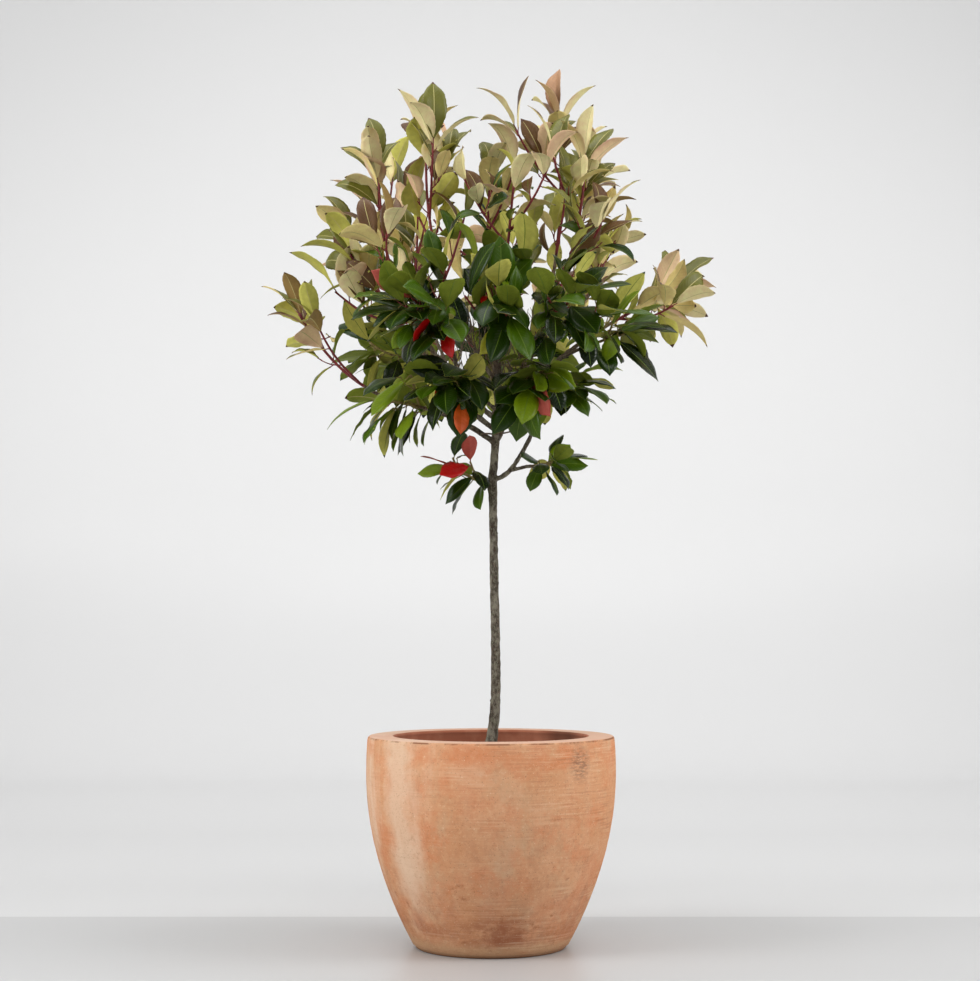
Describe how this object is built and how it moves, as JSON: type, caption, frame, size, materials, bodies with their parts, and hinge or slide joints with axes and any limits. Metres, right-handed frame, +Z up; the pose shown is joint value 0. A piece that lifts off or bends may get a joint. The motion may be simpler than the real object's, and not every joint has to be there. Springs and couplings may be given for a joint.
{
  "type": "potted standard photinia",
  "caption": "Small evergreen patio tree with a clear slim stem and a rounded, open crown of long glossy leaves, planted in a thick-walled terracotta pot.",
  "frame": {"origin": "centre of the pot's flat underside", "axes": "+Z up along the stem, +X to the right and -Y towards the viewer in the picture's view"},
  "size_m": [0.649, 0.5891, 1.2579],
  "materials": {
    "terracotta": "matte",
    "compost": "matte",
    "bark": "matte",
    "foliage": "satin"
  },
  "bodies": {
    "root": {"pot": "terracotta", "soil": "compost", "trunk": "bark", "bough_left_low": "bark", "bough_left": "bark", "bough_upper_left": "bark", "bough_leader": "bark", "bough_upper_right": "bark", "bough_right": "bark", "bough_right_low": "bark", "bough_front": "bark", "bough_back_right": "bark", "bough_left_under": "bark", "bough_front_left": "bark", "bough_back_left_low": "bark", "bough_back_left": "bark", "bough_top_left": "bark", "bough_front_high": "bark", "bough_back": "bark", "bough_top_right": "bark", "bough_shoulder": "bark", "bough_front_right": "bark", "bough_right_front": "bark", "bough_spur_right": "bark", "bough_back_low": "bark", "bough_inner_left": "bark", "bough_inner_right": "bark", "foliage_far_left": "foliage", "foliage_low_left": "foliage", "foliage_left": "foliage", "foliage_front_left": "foliage", "foliage_upper_left": "foliage", "foliage_top_left": "foliage", "foliage_top_centre": "foliage", "foliage_front_high": "foliage", "foliage_top_right": "foliage", "foliage_upper_right": "foliage", "foliage_shoulder": "foliage", "foliage_far_right": "foliage", "foliage_right_front": "foliage", "foliage_low_right": "foliage", "foliage_front_right": "foliage", "foliage_front": "foliage", "foliage_inner_left": "foliage", "foliage_inner_right": "foliage", "foliage_back_left": "foliage", "foliage_back_left_low": "foliage", "foliage_back": "foliage", "foliage_back_right": "foliage", "foliage_back_low": "foliage", "foliage_spur_left": "foliage", "foliage_spur_right": "foliage"}
  },
  "joints": []
}
